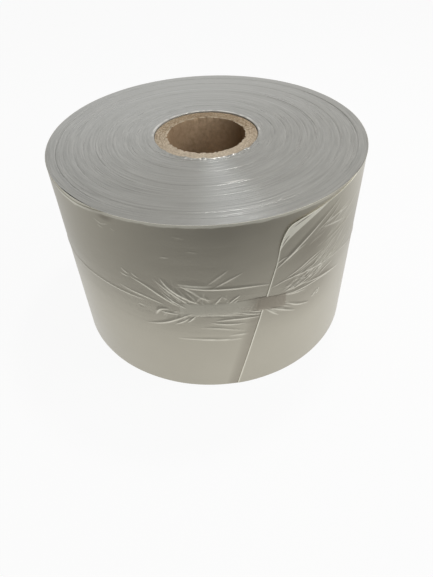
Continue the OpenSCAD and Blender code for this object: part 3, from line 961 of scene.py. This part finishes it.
def make_tape(material):
    """The strip of tape: it stands off the film's face at s and z, climbs onto the
    tail, and has small puckers across it. It thins at its rim. Each row runs over its
    top and back beneath it."""
    along_rows, across_rows, puckers = 164, 34, 14
    s = np.linspace(TAPE_LEFT, TAPE_RIGHT, along_rows)[:, None]
    z = np.linspace(TAPE_FOOT, TAPE_TOP, across_rows)[None, :]
    across = np.abs(z - TAPE_H) / (TAPE_WIDTH / 2)
    s, z = s + 0 * z, z + tape_height(s) - TAPE_H
    d = s - tail_s(z)
    over, below = layer_face(s, z, True), layer_face(s, z, False)
    out = np.where(d > 0, over.out, below.out) + TAIL_LIFT * step((d + 14) / 14)
    # the folds' painted highlight, carried onto the tape
    glint = np.where(d > 0, over.glint, below.glint)
    along = np.abs(s - TAPE_MID) / (TAPE_LENGTH / 2)
    out += TAPE_STANDS - TAPE_THIN * np.maximum(across**12, along**60)
    draw = np.random.default_rng(31)
    for _ in range(puckers):
        at = draw.uniform(TAPE_LEFT, TAPE_RIGHT)
        lean = draw.uniform(-0.5, 0.5)
        out += draw.uniform(0.03, 0.12) * bell((s - at - lean * (z - TAPE_H)) / draw.uniform(0.9, 2.0))
    top = on_face(s, z, out)
    under = on_face(s, z, out - TAPE_THICK)[:, ::-1]
    rings = np.concatenate([top, under], 1)
    rows, columns = rings.shape[:2]
    faces = ring_faces(rows, columns, closed_rows=False)
    half = columns // 2
    j = np.arange(half - 1)
    first = np.stack([j + 1, j, columns - 1 - j, columns - 2 - j], -1)
    last = (rows - 1) * columns + first[:, ::-1]
    piece = new_piece("tail_tape_strip", rings.reshape(-1, 3), np.concatenate([faces, first, last]),
                      material, ["tail_tape"], 75.0)
    tint = step((s - 24 - 3 * wave(s, z, 41, 16)) / 18)
    paint(piece, "tint", np.concatenate([tint, tint[:, ::-1]], 1))
    paint(piece, "glint", np.concatenate([glint, glint[:, ::-1]], 1))
    return piece


def make_camera():
    """The photograph's view, as fitted to the roll's outline: pitch, roll and place."""
    pitch, roll = math.radians(CAMERA_PITCH), math.radians(CAMERA_ROLL)
    look = Vector((0, math.cos(pitch), -math.sin(pitch)))
    right = Vector((1, 0, 0))
    up = right.cross(look)
    side = right * math.cos(roll) + up * math.sin(roll)
    top = up * math.cos(roll) - right * math.sin(roll)
    camera = bpy.data.cameras.new("camera")
    camera.lens = CAMERA_FOCAL * camera.sensor_width
    holder = bpy.data.objects.new("camera", camera)
    turn = Matrix((side, top, -look)).transposed().to_4x4()
    holder.matrix_world = Matrix.Translation(CAMERA_AT) @ turn
    bpy.context.scene.collection.objects.link(holder)
    bpy.context.scene.camera = holder


def make_light(name, place, target, size, power):
    """A soft square lamp at place that faces target."""
    lamp = bpy.data.lights.new(name, "AREA")
    lamp.size = size
    lamp.energy = power
    holder = bpy.data.objects.new(name, lamp)
    holder.location = place
    holder.rotation_euler = (Vector(target) - Vector(place)).to_track_quat("-Z", "Y").to_euler()
    bpy.context.scene.collection.objects.link(holder)


def seen_directly(tree):
    """1 for camera, glossy and transmission rays, and 0 for the rest."""
    path = tree.nodes.new("ShaderNodeLightPath")
    total = None
    for name in ("Is Camera Ray", "Is Glossy Ray", "Is Transmission Ray"):
        if total is None:
            total = path.outputs[name]
            continue
        most = tree.nodes.new("ShaderNodeMath")
        most.operation = "MAXIMUM"
        tree.links.new(total, most.inputs[0])
        tree.links.new(path.outputs[name], most.inputs[1])
        total = most.outputs[0]
    return total


def make_world():
    """A soft grey surround that shows as white."""
    world = bpy.data.worlds.new("surround")
    world.use_nodes = True
    bpy.context.scene.world = world
    tree = world.node_tree
    tree.nodes.clear()
    dim = tree.nodes.new("ShaderNodeBackground")
    dim.inputs[0].default_value = (1, 1, 1, 1)
    dim.inputs[1].default_value = 0.35
    white = tree.nodes.new("ShaderNodeBackground")
    white.inputs[0].default_value = (1, 1, 1, 1)
    mix = tree.nodes.new("ShaderNodeMixShader")
    out = tree.nodes.new("ShaderNodeOutputWorld")
    tree.links.new(seen_directly(tree), mix.inputs[0])
    tree.links.new(dim.outputs[0], mix.inputs[1])
    tree.links.new(white.outputs[0], mix.inputs[2])
    tree.links.new(mix.outputs[0], out.inputs[0])


def make_floor():
    """A plain pale floor that shows as white, with a trace of the roll's shadow."""
    reach = 4.0
    mesh = bpy.data.meshes.new("floor")
    corners = [(-reach, -reach, 0), (reach, -reach, 0), (reach, reach, 0), (-reach, reach, 0)]
    mesh.from_pydata(corners, [], [(0, 1, 2, 3)])
    floor = bpy.data.objects.new("floor", mesh)
    floor.location.z = -0.0002
    bpy.context.scene.collection.objects.link(floor)
    material = bpy.data.materials.new("pale_floor")
    material.use_nodes = True
    tree = material.node_tree
    tree.nodes.clear()
    matt = tree.nodes.new("ShaderNodeBsdfDiffuse")
    matt.inputs[0].default_value = (0.8, 0.8, 0.79, 1)
    glow = tree.nodes.new("ShaderNodeEmission")
    mix = tree.nodes.new("ShaderNodeMixShader")
    out = tree.nodes.new("ShaderNodeOutputMaterial")
    share = tree.nodes.new("ShaderNodeMath")
    share.operation = "MULTIPLY"
    share.inputs[1].default_value = 0.93
    tree.links.new(seen_directly(tree), share.inputs[0])
    tree.links.new(share.outputs[0], mix.inputs[0])
    tree.links.new(matt.outputs[0], mix.inputs[1])
    tree.links.new(glow.outputs[0], mix.inputs[2])
    tree.links.new(mix.outputs[0], out.inputs[0])
    mesh.materials.append(material)


def make_card():
    """A curved studio card in front of the roll, which only its gloss mirrors. With u =
    1 - cos(turn from the front) it is 0.34 + 0.33 u bright at its foot and turns evenly
    to 0.04 + 0.54 u between the heights CARD_FADE, so it is darkest high up straight
    ahead. Lighter patches stand high up at 50 degrees to the left and 104 to the right."""
    half = math.radians(CARD_TURN)
    turn = np.linspace(-half, half, CARD_COLUMNS)
    ring = np.stack([CARD_R * np.sin(turn), -CARD_R * np.cos(turn), 0 * turn], -1)
    points = np.concatenate([ring, ring + [0, 0, CARD_TOP]])
    i = np.arange(CARD_COLUMNS - 1)
    faces = np.stack([i, i + 1, i + CARD_COLUMNS + 1, i + CARD_COLUMNS], -1)
    mesh = bpy.data.meshes.new("card")
    mesh.from_pydata(points.tolist(), [], faces.tolist())
    card = bpy.data.objects.new("card", mesh)
    bpy.context.scene.collection.objects.link(card)
    n = Nodes("card_face")
    x, y, z = n.node("ShaderNodeSeparateXYZ", {0: n.place}).outputs
    u = n.math("MULTIPLY_ADD", y, 1 / CARD_R, 1.0)
    high = n.math("MULTIPLY_ADD", u, 0.54, 0.04)
    for degrees, gain in CARD_PATCHES:
        turn = math.radians(degrees)
        ahead = n.math("MULTIPLY", y, -math.cos(turn) / CARD_R)
        towards = n.math("MULTIPLY_ADD", x, math.sin(turn) / CARD_R, ahead)
        high = n.math("ADD", high, n.fit(towards, 0.6, 1.0, 0.0, gain))
    low = n.math("MULTIPLY_ADD", u, 0.33, 0.34)
    foot = n.fit(z, *CARD_FADE, 1.0, 0.0)
    grey_in_sheen = n.math("MULTIPLY_ADD", n.math("SUBTRACT", low, high), foot, high)
    mesh.materials.append(n.finish(
        Base_Color=(0, 0, 0, 1), Specular_IOR_Level=0.0,
        Emission_Color=(1, 1, 1, 1), Emission_Strength=grey_in_sheen,
    ))
    card.visible_camera = False
    card.visible_diffuse = False
    card.visible_transmission = False
    card.visible_volume_scatter = False
    card.visible_shadow = False


make_camera()
make_world()
make_floor()
make_card()
make_light("top_lamp", (0.26, 0.3, 1.3), (0, 0, 0.15), 0.14, 4.5)
make_light("right_lamp", (1.3, -0.35, 1.0), (0, 0, 0.1), 0.9, 9)

film_face = film_face_material()
half_way = TURN_LENGTH / 2
tail_columns = spaced(0.0, (110, 0.45), (150, 1.2), (half_way - 4, 6.5), (half_way + 1, 1.0))
turn_columns = spaced(half_way, (half_way + 4, 1.0), (TURN_LENGTH - 200, 6.5), (TURN_LENGTH - 150, 2.0),
                      (TURN_LENGTH, 0.5))
make_outer_turn("outer_turn_tail", tail_columns, True, film_face)
make_outer_turn("outer_turn_left", turn_columns, False, film_face)
make_second_turn(film_face)
make_wound_film(film_end_material())
make_core(core_material())
make_tape(tape_material())

bpy.context.scene.view_settings.view_transform = "Standard"
